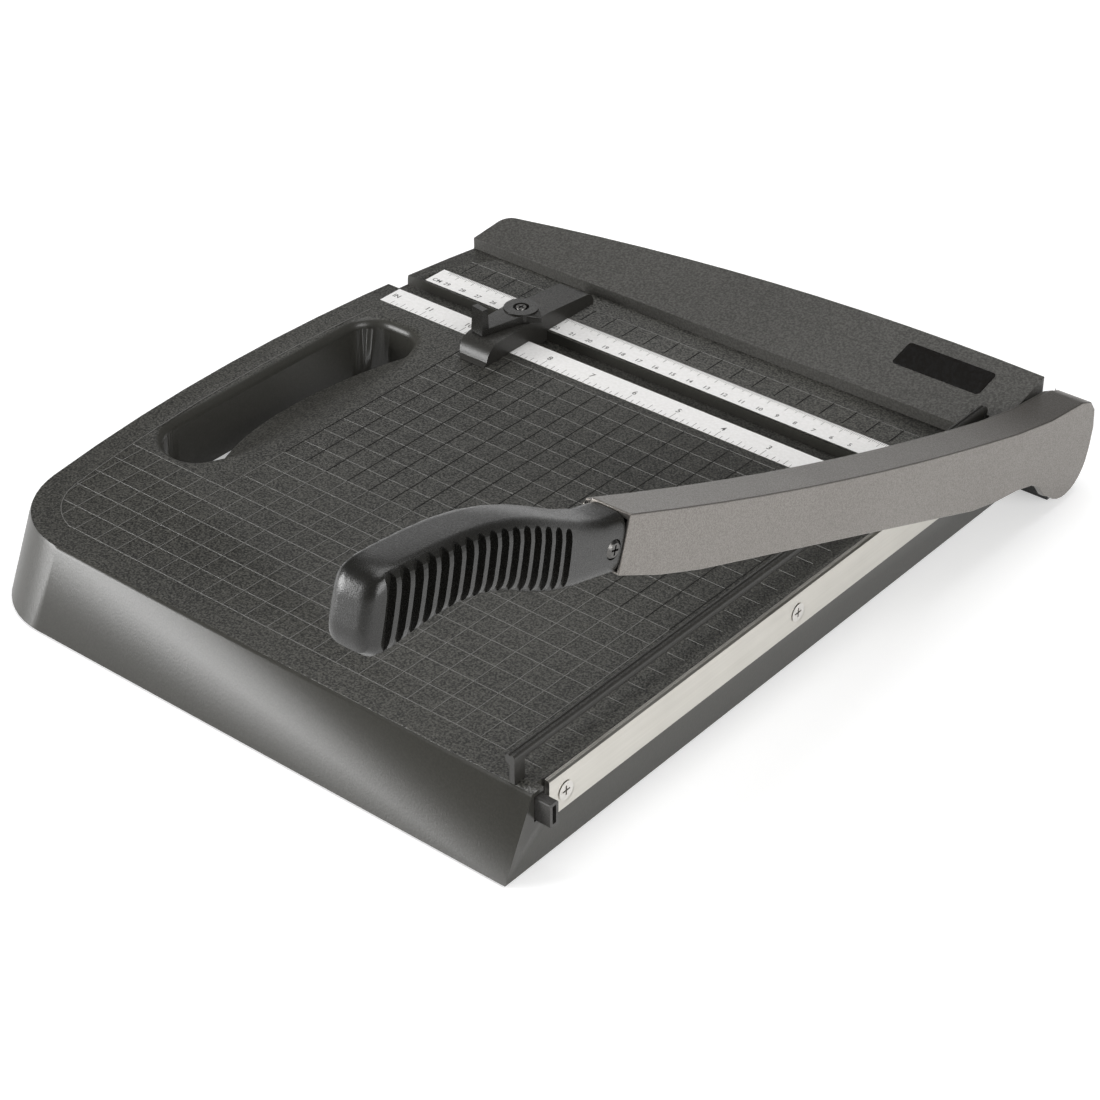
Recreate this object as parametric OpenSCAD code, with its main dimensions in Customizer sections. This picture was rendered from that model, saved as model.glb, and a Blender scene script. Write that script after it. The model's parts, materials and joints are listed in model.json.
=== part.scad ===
// Guillotine paper cutter with a sliding paper guide. Millimetres, +Z up.
// The origin lies on the table under the middle of the base. Modules are
// written from the cutting edge (x = 0), the first grid line (y = 0) and
// the table (z = 0), and place() moves them to the origin.

/* [Base] */
// Cutting edge to the left rim of the board
board_w = 317.5; // [300:0.5:390]
// Front rim to the middle of the back edge
board_d = 363; // [340:1:440]
// Table to the top of the board
deck_h = 35; // [32:0.5:44]
// How far the front wall leans out at the bottom
flare = 16.5; // [6:0.5:20]
// How far the left wall leans out at the bottom
side_flare = 2; // [1:0.5:8]
// How far the back wall leans out at the bottom
back_flare = 4; // [2:0.5:8]
// Height of the stiffening ribs under the board
rib_h = 3.5; // [2:0.5:3.5]
// Thickness of the board
deck_t = 3.2; // [2.4:0.1:4]
// Thickness of the outer walls
wall = 2.6; // [2:0.1:3.4]
// Radius of the front left corner
corner_r = 45; // [25:1:55]
// Radius of the back left corner
back_corner_r = 8; // [5:1:12]
// Bow radius of the left side
side_bow_r = 840; // [700:10:1400]
// Bow radius of the back edge
back_bow_r = 1376; // [1100:10:2000]
// Front rim ahead of the first grid line
front_margin = 14.2; // [12:0.1:18]
// Height of the rubber feet below the walls
foot_h = 1; // [0.6:0.1:2]
// Radius of a rubber foot
foot_r = 8; // [6:0.5:10]

/* [Carry handle] */
// Length of the hand hole
hole_len = 150; // [120:1:160]
// Width of the hand hole at its middle
hole_w = 48; // [40:1:54]
// Rim between the hole and the left edge
hole_rim = 18; // [14:0.5:24]
// Corner radius of the hand hole
hole_end_r = 14; // [10:0.5:14]
// Bow radius of the hole's right side
hole_bow_r = 190; // [190:5:400]
// Width of the sloping finger scoop
scoop_w = 28; // [20:0.5:32]
// Depth of the scoop at its inner edge
scoop_drop = 10; // [5:0.5:14]

/* [Rulers and channel] */
// Width of a ruler strip
ruler_w = 14.3; // [10:0.1:16]
// Thickness of a ruler strip
ruler_t = 0.6; // [0.4:0.1:1]
// First grid line to the inch ruler
inch_y = 233.8; // [200:0.1:236]
// Width of the guide channel
channel_w = 13; // [11:0.5:16]
// Depth of the guide channel
channel_d = 5.3; // [4:0.1:7]
// Width of the slot in the channel floor
slot_w = 4.4; // [4.2:0.1:5.2]

/* [Fence] */
// First grid line to the face of the back fence
fence_y = 304; // [300:0.5:310]
// Height of the fence at its face
fence_h = 6; // [5:0.5:10]
// Rise of the fence top towards the back, per millimetre
fence_slope = 0.25; // [0.15:0.01:0.3]
// Wall thickness of the fence
fence_wall = 2.2; // [1.6:0.1:3]

/* [Fixed blade and guard] */
// Height of the fixed blade
ledger_w = 18; // [15:0.5:20]
// Thickness of the fixed blade
ledger_t = 2.4; // [2:0.1:3]
// How far the fixed blade stands above the board
ledger_lip = 0.5; // [0.2:0.1:1]
// Width of the finger guard rail
rail_w = 4.4; // [3.6:0.1:6]
// Height of the finger guard rail
rail_h = 4.4; // [3.6:0.1:6]
// Paper gap under the guard rail
rail_gap = 8.6; // [7:0.1:10]
// Cutting edge to the guard rail
rail_x = 9.2; // [8:0.1:12]

/* [Arm] */
// Angle of the arm above its closed position
raise = 16.2; // [16:0.1:24]
// Height of the arm pivot above the table
pivot_z = 23; // [21:0.5:26]
// Radius of the pivot bolt
bolt_r = 4; // [3:0.1:4.5]
// Width of the arm
arm_w = 21.2; // [20.5:0.1:26]
// Wall thickness of the arm casting
arm_wall = 3.2; // [2.4:0.1:3.6]
// Thickness of the cutting blade
blade_t = 1.4; // [1:0.1:2]
// How far the cutting edge hangs below the arm
blade_drop = 5; // [4:0.5:7]
// Pivot to the mouth of the arm casting
arm_len = 350; // [349:0.5:356]
// Length of the hand grip
grip_len = 131; // [110:1:150]

/* [Paper guide] */
// Face of the guide to the cutting edge
guide_x = 221.5; // [90:0.5:250]
// Height of the guide above the board
guide_h = 9.5; // [8:0.1:12]
// Width of the guide flange
guide_w = 18; // [15:0.5:22]
// Angle of the clamp lever from straight forwards
lever_turn = 9; // [0:1:20]

/* [Latch] */
// How far the latch stands out of the side
latch_out = 7.2; // [6.8:0.1:9]
// Width of the latch
latch_w = 4.8; // [4:0.1:5]
// Height of the latch
latch_h = 11.4; // [9:0.1:11.8]

/* [Hidden] */
$fn = 48;
slack = 0.3;                        // running gap between moving pieces
fit = 0.08;                         // radial clearance of a shaft in its hole
eps = 0.5;                          // how far a cut runs past a face
plastic = [0.16, 0.16, 0.15];
steel = [0.80, 0.79, 0.75];
strip = [0.92, 0.92, 0.90];
rubber = [0.08, 0.08, 0.08];

// places that follow from the driving sizes
side_x = -0.4;                      // outer face of the right wall
front_y = -front_margin;
back_y = front_y + board_d;
mid = [board_w / 2 - 0.75, -(front_y + board_d / 2 - 2.3)];
bow_y = 160;                        // height of the left bow's widest point
side_c = [-board_w + side_bow_r, bow_y];
back_c = [-46, back_y - back_bow_r];
channel_y = inch_y + ruler_w + 0.4;
cm_y = channel_y + channel_w + 1.6;
slot_y = channel_y + 3.7;           // middle of the slot
ruler_end = side_x - 3;             // both rulers stop short of the cutting edge
pivot_y = back_y - 9.8;
ledger_top = deck_h + ledger_lip;
ledger_y0 = front_y + 9.2;
ledger_y1 = pivot_y - 13;
latch_y = front_y + 1;              // front face of the latch
latch_z = deck_h - 2.2 - latch_h;   // underside of the latch

module place() translate([mid[0], mid[1], 0]) children();

// where two circles meet, on the side with the smaller x
function meet(c1, r1, c2, r2) =
    let (d = norm(c2 - c1), a = (r1 * r1 - r2 * r2 + d * d) / (2 * d),
         h = sqrt(r1 * r1 - a * a), e = (c2 - c1) / d,
         p = c1 + a * e + h * [e[1], -e[0]], q = c1 + a * e - h * [e[1], -e[0]])
    p[0] < q[0] ? p : q;
function arc(c, r, a0, a1, n) = [for (i = [0:n]) let (a = a0 + (a1 - a0) * i / n)
    c + r * [cos(a), sin(a)]];
function heading(p, q) = atan2(q[1] - p[1], q[0] - p[0]);

// plan outline of the board, grown by f in front, l on the left and b at the back
function outline(f, l, b, x1 = side_x) =
    let (rf = corner_r + min(f, l, 0), rk = back_corner_r + min(l, b), rs = side_bow_r + l,
        rb = back_bow_r + b, fy = front_y - f + rf,
        fc = [side_c[0] - sqrt(pow(rs - rf, 2) - pow(bow_y - fy, 2)), fy],
        kc = meet(side_c, rs - rk, back_c, rb - rk),
        a0 = 360 + heading(side_c, fc), a1 = heading(side_c, kc), a2 = heading(back_c, kc))
    concat([[x1, front_y - f]], arc(fc, rf, 270, a0, 12), arc(side_c, rs, a0, a1, 10),
        arc(kc, rk, a1, a2, 5), arc(back_c, rb, a2, 90 - asin((x1 - back_c[0]) / rb), 12));

module slab(pts, z, h = 0.01) translate([0, 0, z]) linear_extrude(h) polygon(pts);
module box(x, y, z) translate([x[0], y[0], z[0]]) cube([x[1] - x[0], y[1] - y[0], z[1] - z[0]]);
module rod_x(r, x0, x1) translate([x0, 0, 0]) rotate([0, 90, 0]) cylinder(r = r, h = x1 - x0);

// flat rounded rectangle with its low corner at the origin
module round_rect(w, h, r) {
    translate([r, 0]) square([w - 2 * r, h]);
    translate([0, r]) square([w, h - 2 * r]);
    for (x = [r, w - r], y = [r, h - r]) translate([x, y]) circle(r);
}

module cross_recess(r, d) for (a = [0, 90]) rotate([0, 0, a])
    translate([-r, -0.4, -d]) cube([2 * r, 0.8, d + eps]);

// pan head screw: head from z = 0 upwards, shank downwards
module pan_screw(r, l, hr, hh) difference() {
    union() {
        translate([0, 0, -l]) cylinder(r = r, h = l);
        cylinder(r = hr, h = hh * 0.5);
        translate([0, 0, hh * 0.5]) cylinder(r1 = hr, r2 = hr * 0.75, h = hh * 0.5);
    }
    translate([0, 0, hh]) cross_recess(hr * 0.55, hh * 0.6);
}

// countersunk screw with its flat head face at z = 0
module flat_screw(r, l, hr) difference() {
    union() {
        translate([0, 0, -l]) cylinder(r = r, h = l);
        translate([0, 0, r - hr]) cylinder(r1 = r, r2 = hr, h = hr - r);
    }
    cross_recess(hr * 0.55, (hr - r) * 0.8);
}
module flat_hole(r, l, hr) {
    translate([0, 0, -l]) cylinder(r = r, h = l + eps);
    translate([0, 0, r - hr]) cylinder(r1 = r, r2 = hr, h = hr - r);
    cylinder(r = hr, h = 2);
}

// ---- base ----
// plan shape of the hand hole: straight on the left, bowed on the right
hole_x = -board_w + hole_rim;
hole_mid = front_y + 158.7;
hole_front_r = 22;                  // the front left corner is rounder
hole_e = hole_len / 2 - hole_end_r;
hole_c = [hole_x + hole_w - hole_bow_r, hole_mid];
hole_k = sqrt(pow(hole_bow_r - hole_end_r, 2) - hole_e * hole_e);
hole_a = atan2(hole_e, hole_k);
function hole_outline(grow) = let (r = hole_end_r + grow, x0 = hole_x + hole_end_r,
    x1 = hole_c[0] + hole_k, y0 = hole_mid - hole_e, y1 = hole_mid + hole_e)
    concat(arc([x0 + hole_front_r - hole_end_r, y0 + hole_front_r - hole_end_r],
            hole_front_r + grow, 180, 270, 8), arc([x1, y0], r, 270, 360 - hole_a, 5),
        arc(hole_c, hole_bow_r + grow, -hole_a, hole_a, 14),
        arc([x1, y1], r, hole_a, 90, 5), arc([x0, y1], r, 90, 180, 6));
// the finger scoop takes the part of the hole inside this circle
scoop_r = 120;
module scoop_plan(grow = 0) intersection() {
    polygon(hole_outline(min(grow, 0)));
    translate([hole_x + hole_w - scoop_w + scoop_r, hole_mid]) circle(scoop_r + grow, $fn = 160);
}
// everything above (side = 1) or below (side = -1) the scoop's sloping floor
module scoop_side(side, lower) let (x1 = hole_x + hole_w + 4, x0 = x1 - 60,
    slope = (scoop_drop - 1.5) / scoop_w, z1 = deck_h - 1.5 + 4 * slope - lower)
    translate([0, hole_mid - hole_len, 0]) rotate([90, 0, 0]) mirror([0, 0, 1])
    linear_extrude(2 * hole_len) polygon([[x0, z1 - 60 * slope], [x1, z1],
        [x1, side > 0 ? deck_h + 9 : -9], [x0, side > 0 ? deck_h + 9 : -9]]);

feet = [[-28, 22], [-28, back_y - 46], [-board_w + 52, 22], [-board_w + 52, back_y - 46],
    [-mid[0], -mid[1]]];
fence_screw_x = [-board_w + 52, -board_w * 0.5, -60];
fence_screw_y = fence_y + 18;
ledger_screw_y = [ledger_y0 + 10, ledger_y0 + 161.5, ledger_y1 - 10];
ledger_screw_z = deck_h - 9.8;
rib_x = [-board_w * 0.72, -board_w * 0.48, -board_w * 0.26];
rib_y = [front_y + 53, hole_mid - 40, hole_mid + 50];
post_y = 6;                         // length of each guard post along the rail
latch_in_x = -28;                   // inner end of the latch
retainer_x = [-27, -15];
retainer_hole = [-21, latch_y + latch_w + 5.5];

module ledger_seat() box([-8.2, side_x], [ledger_y0 + 1, ledger_y1 + 1],
    [ledger_top - ledger_w - 3, deck_h - deck_t + eps]);

module base_shell() color(plastic) place() difference() {
    union() {
        difference() {
            hull() {
                slab(outline(flare, side_flare, back_flare), foot_h);
                slab(outline(0.9, 0.4, 0.4), deck_h - 1.6);
                slab(outline(0, 0, 0), deck_h - 0.01);
            }
            hull() {
                slab(outline(flare - wall, side_flare - wall, back_flare - wall, side_x - wall),
                    foot_h - 0.2);
                slab(outline(-wall, -wall, -wall, side_x - wall), deck_h - deck_t);
            }
        }
        intersection() {
            hull() {
                slab(outline(flare - 1, side_flare - 1, back_flare - 1, side_x - 1), foot_h);
                slab(outline(-1, -1, -1, side_x - 1), deck_h - 1);
            }
            base_inner();
        }
        ledger_seat();
    }
    // guide channel, its slot and the ruler recesses
    box([-board_w - 40, side_x + eps], [channel_y, channel_y + channel_w],
        [deck_h - channel_d, deck_h + eps]);
    box([-board_w + 16, -34], [slot_y - slot_w / 2, slot_y + slot_w / 2],
        [deck_h - channel_d - deck_t - eps, deck_h]);
    box([-board_w + 12.5, ruler_end], [inch_y, inch_y + ruler_w],
        [deck_h - ruler_t, deck_h + eps]);
    box([-board_w + 16, ruler_end], [cm_y, cm_y + ruler_w], [deck_h - ruler_t, deck_h + eps]);
    translate([0, 0, -eps]) linear_extrude(deck_h + 1) difference() {
        polygon(hole_outline(0));
        scoop_plan();
    }
    intersection() {
        translate([0, 0, 1]) linear_extrude(deck_h + 1) polygon(hole_outline(0));
        scoop_side(1, 0);
    }
    // seat of the fixed blade, its screw holes and the relief at its front end
    box([-ledger_t, eps], [ledger_y0, ledger_y1], [ledger_top - ledger_w, deck_h + eps]);
    for (y = ledger_screw_y) translate([0, y, ledger_screw_z]) rod_x(2, -9.5, 0);
    box([-3.8, eps], [ledger_y0 - 3, ledger_y0 + 0.01], [deck_h - 8, deck_h + eps]);
    // latch way, guard rail seats, fence and bracket holes
    box([-45, eps], [latch_y - slack, latch_y + latch_w + slack],
        [latch_z - slack, latch_z + latch_h + slack]);
    box([-rail_x - 2.2, -rail_x - 0.2], [front_y + 1.2, front_y + post_y - 0.8],
        [deck_h - 1.3, deck_h + eps]);
    translate([-rail_x - rail_w / 2, fence_y + 5, 0]) cylinder(r = 1.6, h = deck_h + 1);
    for (x = fence_screw_x) translate([x, fence_screw_y, 0]) cylinder(r = 2.2, h = deck_h + 1);
    translate([0, pivot_y, pivot_z]) rod_x(bolt_r + fit, -12, eps);
    for (y = [-5, 5]) translate([0, pivot_y + y, foot_h + 4]) rod_x(2.1, -6, eps);
    for (p = feet) translate([p[0], p[1], 0]) cylinder(r = 3, h = 10);
    translate([retainer_hole[0], retainer_hole[1], 0]) cylinder(r = 1.4, h = latch_z + 7);
}

// ribs, bosses, the channel's trough and the hand hole's skirt
module base_inner() difference() {
    union() {
        box([-board_w, side_x], [channel_y - 3, channel_y + channel_w + 3],
            [deck_h - channel_d - deck_t, deck_h]);
        translate([0, 0, foot_h + 2]) linear_extrude(deck_h - foot_h - 2)
            polygon(hole_outline(wall));
        for (x = rib_x) box([x, x + 2], [front_y, back_y], [deck_h - deck_t - rib_h, deck_h]);
        for (y = rib_y) box([-board_w, side_x], [y, y + 2], [deck_h - deck_t - rib_h, deck_h]);
        for (p = feet) translate([p[0], p[1], 3]) cylinder(r = foot_r + 1.4, h = deck_h - 4);
        for (x = fence_screw_x) translate([x, fence_screw_y, deck_h - deck_t - 5])
            cylinder(r = 5, h = 7);
        translate([0, pivot_y, pivot_z]) rod_x(11, -9, side_x);
        translate([retainer_hole[0], retainer_hole[1], latch_z - slack]) cylinder(r = 3.2, h = 12);
    }
    // room for the latch, the clamp nut, the fence's screw heads and below the scoop
    box([-45, -wall - 0.8], [front_y - flare, latch_y + latch_w + 1.6],
        [0, deck_h - 2]);
    box([-board_w + 10, -20], [slot_y - 7.5, slot_y + 7.5], [0, deck_h - channel_d - deck_t]);
    for (x = fence_screw_x) translate([x, fence_screw_y, 0])
        cylinder(r = 4, h = deck_h - deck_t - 5);
    intersection() {
        linear_extrude(deck_h) scoop_plan(-wall);
        scoop_side(-1, deck_t);
    }
}

module rubber_feet() color(rubber) place() for (p = feet) translate([p[0], p[1], 0]) {
    cylinder(r = foot_r, h = 3);
    cylinder(r = 3, h = 9);
}

notch_x = [-rail_x - rail_w - 3.4, -rail_x + 1.2];
notch_y = fence_y + 11;
module fence_wedge(inset) rotate([90, 0, 90]) translate([0, 0, -board_w - 10])
    linear_extrude(board_w + 20) polygon([
        [fence_y + inset, deck_h - (inset > 0 ? 1 : 0)],
        [fence_y + inset, deck_h + fence_h - inset],
        [back_y + 10, deck_h + fence_h - inset + fence_slope * (back_y + 10 - fence_y)],
        [back_y + 10, deck_h - (inset > 0 ? 1 : 0)]]);
module back_fence() color(plastic) place() difference() {
    intersection() {
        fence_wedge(0);
        translate([0, 0, deck_h]) linear_extrude(40) polygon(outline(0, 0, 0));
    }
    difference() {
        intersection() {
            fence_wedge(fence_wall);
            translate([0, 0, deck_h - 2]) linear_extrude(40)
                polygon(outline(-fence_wall, -fence_wall, -fence_wall, side_x - fence_wall));
        }
        box([notch_x[0] - 2, notch_x[1] + 2], [fence_y, notch_y + 2], [deck_h - 2, deck_h + 40]);
        for (x = fence_screw_x) translate([x, fence_screw_y, deck_h - 2]) cylinder(r = 4, h = 40);
    }
    box(notch_x, [fence_y - eps, notch_y], [deck_h - eps, deck_h + 40]);
    // clear of the fixed blade's lip
    box([-ledger_t - 0.1, eps], [fence_y - eps, ledger_y1 + 0.2], [deck_h - eps, ledger_top + 0.1]);
    for (x = fence_screw_x) translate([x, fence_screw_y, deck_h - eps]) cylinder(r = 1.6, h = 7);
    label_frame() translate([0, 0, -0.5]) linear_extrude(3) round_rect(label_w, label_d, 2);
}
module fence_screws() color(steel) place() for (x = fence_screw_x)
    translate([x, fence_screw_y, deck_h - deck_t - 5]) rotate([180, 0, 0]) pan_screw(1.6, 13, 3.4, 2.2);

label_w = 47;
label_d = 16;
// the sloping top of the fence, with x along the fence and y up the slope
module label_frame() translate([-20 - label_w, fence_y + 20, deck_h + fence_h + 20 * fence_slope])
    rotate([atan(fence_slope), 0, 0]) children();
module label_plate() color([0.05, 0.05, 0.05]) place() label_frame()
    translate([0, 0, -0.5]) linear_extrude(0.7) round_rect(label_w, label_d, 2);

module inch_ruler() color(strip) place()
    box([-board_w + 12.6, ruler_end - 0.1], [inch_y + 0.1, inch_y + ruler_w - 0.1],
        [deck_h - ruler_t, deck_h + 0.05]);
module cm_ruler() color(strip) place()
    box([-board_w + 16.1, ruler_end - 0.1], [cm_y + 0.1, cm_y + ruler_w - 0.1],
        [deck_h - ruler_t, deck_h + 0.05]);

// ---- fixed blade and guard ----
module ledger_blade() color(steel) place() difference() {
    intersection() {
        translate([0, ledger_y0, 0]) rotate([90, 0, 0]) mirror([0, 0, 1])
            linear_extrude(ledger_y1 - ledger_y0)
            polygon([[-ledger_t, ledger_top - ledger_w], [0, ledger_top - ledger_w],
                [0, ledger_top - 0.7], [-1, ledger_top], [-ledger_t, ledger_top]]);
        rotate([90, 0, 90]) translate([0, 0, -ledger_t - eps]) linear_extrude(ledger_t + 1)
            polygon([[ledger_y0, ledger_top], [ledger_y0, ledger_top - 7.5],
                [ledger_y0 + 4.4, ledger_top - ledger_w], [ledger_y1 - 8, ledger_top - ledger_w],
                [ledger_y1, ledger_top - 10], [ledger_y1, ledger_top]]);
    }
    for (y = ledger_screw_y) translate([0, y, ledger_screw_z]) rotate([0, 90, 0]) {
        flat_hole(2.1, 6, 4.2);
        translate([0, 0, -0.45]) cylinder(r1 = 4.4, r2 = 5.2, h = 0.46);
    }
}
module ledger_screws() color(steel) place() for (y = ledger_screw_y)
    translate([0, y, ledger_screw_z]) rotate([0, 90, 0]) flat_screw(1.95, 8.6, 4.1);

rail_y1 = notch_y - slack;
module guard_rail() color(plastic) place() difference() {
    union() {
        translate([-rail_x - rail_w, front_y, deck_h + rail_gap]) rotate([90, 0, 0])
            mirror([0, 0, 1]) linear_extrude(rail_y1 - front_y) round_rect(rail_w, rail_h, 1.5);
        box([-rail_x - 2.4, -rail_x], [front_y, front_y + post_y],
            [deck_h, deck_h + rail_gap + 1.6]);
        box([-rail_x - 2.1, -rail_x - 0.3], [front_y + 1.3, front_y + post_y - 0.9],
            [deck_h - 1.2, deck_h + 1]);
        box([-rail_x - rail_w, -rail_x], [fence_y + 5 - post_y / 2, fence_y + 5 + post_y / 2],
            [deck_h, deck_h + rail_gap + 1.6]);
    }
    translate([-rail_x - rail_w / 2, fence_y + 5, deck_h - eps]) cylinder(r = 1.3, h = 7);
    translate([-rail_x - rail_w / 2, front_y - 1, deck_h + rail_gap + rail_h]) rotate([90, 0, 0])
        mirror([0, 0, 1]) cylinder(r = 0.6, h = rail_y1 - front_y + 2);
}
module guard_screw() color(steel) place()
    translate([-rail_x - rail_w / 2, fence_y + 5, deck_h - deck_t]) rotate([180, 0, 0])
    pan_screw(1.3, 9, 2.8, 1.8);

// ---- latch ----
module arm_latch() color(plastic) place() difference() {
    union() {
        translate([latch_in_x, latch_y, latch_z]) rotate([90, 0, 90])
            linear_extrude(latch_out - latch_in_x) round_rect(latch_w, latch_h, 1.2);
        box([-6.2, -4.2], [latch_y, latch_y + latch_w + 1.4], [latch_z - 2.6, latch_z + latch_h - 1.3]);
    }
    box([latch_out - 15, latch_out + 1], [latch_y + 1.35, latch_y + latch_w - 1.35],
        [latch_z + 1.5, latch_z + latch_h - 1.5]);
}
module latch_retainer() color(plastic) place() difference() {
    box(retainer_x, [latch_y - 0.5, retainer_hole[1] + 4], [latch_z - slack - 2, latch_z - slack]);
    translate([retainer_hole[0], retainer_hole[1], 0]) cylinder(r = 1.6, h = deck_h);
}
module retainer_screw() color(steel) place()
    translate([retainer_hole[0], retainer_hole[1], latch_z - slack - 2]) rotate([180, 0, 0])
    pan_screw(1.4, 7.5, 2.9, 1.8);

// ---- pivot ----
web_x = blade_t + 0.1;              // inner face of the arm casting
web_t = 3.5;
outer_x = web_x + arm_w;            // outer face of the arm casting
cup_t = 2.6;                        // space for the cup washers
nut_t = 3.8;
bracket_x = [web_x + web_t + cup_t + 0.4, outer_x - arm_wall - nut_t - 0.7];
bracket_w = 16;
module pivot_bracket() color([0.22, 0.22, 0.21]) place() difference() {
    union() {
        box([side_x, bracket_x[1] + 2], [pivot_y - bracket_w / 2, pivot_y + bracket_w / 2],
            [foot_h, pivot_z - 14]);
        box(bracket_x, [pivot_y - bracket_w / 2, pivot_y + bracket_w / 2], [foot_h, pivot_z]);
        translate([0, pivot_y, pivot_z]) rod_x(bracket_w / 2, bracket_x[0], bracket_x[1]);
    }
    translate([0, pivot_y, pivot_z]) rod_x(bolt_r + fit, bracket_x[0] - 1, bracket_x[1] + 1);
    for (y = [-5, 5]) translate([0, pivot_y + y, foot_h + 4]) rod_x(1.7, side_x - 1, side_x + 9);
}
module bracket_screws() color(steel) place() for (y = [-5, 5])
    translate([side_x - wall, pivot_y + y, foot_h + 4]) rotate([0, -90, 0]) pan_screw(1.65, 10.5, 3.3, 2.2);
module pivot_bolt() color(steel) place() translate([0, pivot_y, pivot_z]) {
    rod_x(bolt_r, -10.6, bracket_x[1] + nut_t + 0.4);
    translate([-15.6, 0, 0]) rotate([0, 90, 0]) cylinder(r = 1.85 * bolt_r, h = 5, $fn = 6);
}
module bolt_washer() color(steel) place() translate([0, pivot_y, pivot_z]) difference() {
    rod_x(1.85 * bolt_r, -10.6, -9);
    rod_x(bolt_r + fit, -12, -8);
}
module cup_washers() color(steel) place() translate([web_x + web_t + 0.2, pivot_y, pivot_z])
    rotate([0, 90, 0]) for (k = [0, 1]) translate([0, 0, k * cup_t]) mirror([0, 0, k])
    rotate_extrude() polygon([[bolt_r + fit, 0], [bolt_r + 4, 0.5],
        [bolt_r + 4, cup_t / 2 - 0.02], [bolt_r + fit, 0.8]]);
module pivot_nut() color(steel) place() translate([0, pivot_y, pivot_z]) difference() {
    translate([bracket_x[1] + 0.02, 0, 0]) rotate([0, 90, 0])
        cylinder(r = 1.85 * bolt_r, h = nut_t, $fn = 6);
    rod_x(bolt_r + 0.02, bracket_x[1] - 1, bracket_x[1] + nut_t + 1);
}

// ---- arm, drawn closed with u forwards from the pivot and w up from it ----
module arm_frame() place() translate([0, pivot_y, pivot_z]) rotate([-raise, 0, 0]) children();
// a [u, w] outline extruded across x
module across(x0, x1) translate([x0, 0, 0]) rotate([90, 0, 90]) linear_extrude(x1 - x0)
    mirror([1, 0]) children();
function top_w(u) = 20 + pow(u - 75, 2) / 4900;
function low_w(u) = -11.5 + 0.0713 * (u - 86) + 4.6 * pow(max(0, u - 290) / 60, 2);
lug_c = [2.5, -2];
lug_r = 18.5;
// side outline of the arm, shrunk by t at the top and back
function arm_side(t, drop = 0, u1 = arm_len) = concat(
    [for (i = [0:10]) let (u = u1 + (60 - u1) * i / 10) [u, top_w(u) - t]],
    [[30, 21.6 - t], [14, 24.2 - t], [3, 26 - t], [-6 + t * 0.5, 25.2 - t],
     [-11.5 + t, 21 - t / 2], [-15 + t, 12], [-16 + t, 3]],
    arc(lug_c, lug_r - t, 176, 300, 10),
    [[18.9, -16.2], [25.8, -11.1], [33.7, -8.7 - drop], [47.9, -8.8 - drop],
     [66, -10.9 - drop], [86, -11.5 - drop]],
    [for (i = [1:10]) let (u = 86 + (u1 - 86) * i / 10) [u, low_w(u) - drop]]);
// the web beside the blade keeps clear of the bracket's foot
function web_side() = concat(
    [for (i = [0:10]) let (u = arm_len + (60 - arm_len) * i / 10) [u, top_w(u) - 1]],
    [[30, 20.6], [14, 23.2], [3, 25], [-6, 24.2], [-11.5, 16]],
    arc([0, 0], 12, 160, 270, 8),
    [[16, -10], [33.7, -8.7], [47.9, -8.8], [66, -10.9], [86, -11.5]],
    [for (i = [1:10]) let (u = 86 + (arm_len - 86) * i / 10) [u, low_w(u)]]);

blade_u = [30, 100, 170, 240, 310];
function blade_screw_w(u) = (u < 86 ? -1 : low_w(u) + 10);
tang_x = [web_x + 5, outer_x - 6];
tang_u1 = arm_len + 62;
function tang_w(u) = (u < arm_len + 30 ? 22.8 : 22.8 + (u - arm_len - 30) * 0.26);
module tang(grow) across(tang_x[0] - grow, tang_x[1] + grow) polygon(concat(
    [for (u = [arm_len - 24, arm_len + 30, tang_u1 + grow]) [u, tang_w(u) - 5.5 - grow]],
    [for (u = [tang_u1 + grow, arm_len + 30, arm_len - 24]) [u, tang_w(u) + 5.5 + grow]]));
module round_top(r) intersection() {
    // softened long edges of the casting
    across(web_x - 1, outer_x + 1) polygon(arm_side(0));
    union() {
        across(web_x, outer_x) polygon(arm_side(r));
        across(web_x + r * 0.29, outer_x - r * 0.29) polygon(arm_side(r * 0.29));
        across(web_x + r, outer_x - r) polygon(arm_side(0));
    }
}
module arm_casting() color([0.30, 0.30, 0.29]) arm_frame() difference() {
    union() {
        difference() {
            round_top(3);
            // hollow between the web and the outer wall, open below
            across(web_x + web_t, outer_x - arm_wall) polygon(concat(
                [for (i = [0:8]) let (u = arm_len - 26 + (60 - arm_len + 26) * i / 8)
                    [u, top_w(u) - arm_wall]],
                [[30, 21.6 - arm_wall], [14, 24.2 - arm_wall], [-6, 21],
                 [-13, 12], [-13, 2], [-40, 2], [-40, -40], [arm_len - 26, -40]]));
            // the inner side is cut back to the web
            difference() {
                across(web_x - 1, web_x + web_t + 0.01) polygon(arm_side(-2, 4));
                across(web_x - 2, web_x + web_t + 1) polygon(web_side());
            }
        }
        tang(0);
    }
    // pocket for the grip's root around the tang
    difference() {
        across(web_x + 1.6, outer_x - 1.6) polygon([[arm_len - 14, low_w(arm_len - 14) + 1.2],
            [arm_len - 14, top_w(arm_len) - 3.2], [arm_len + 1, top_w(arm_len) - 2.6],
            [arm_len + 1, low_w(arm_len) + 1.6]]);
        tang(0);
    }
    rod_x(bush_r, web_x - 1, web_x + web_t + 1);
    for (u = blade_u) translate([0, -u, blade_screw_w(u)]) rod_x(1.6, web_x - 1, web_x + web_t - 0.4);
    translate([0, -grip_screw_u, tang_w(grip_screw_u)]) rod_x(2, tang_x[0] - 1, tang_x[1] + 1);
}

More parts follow.
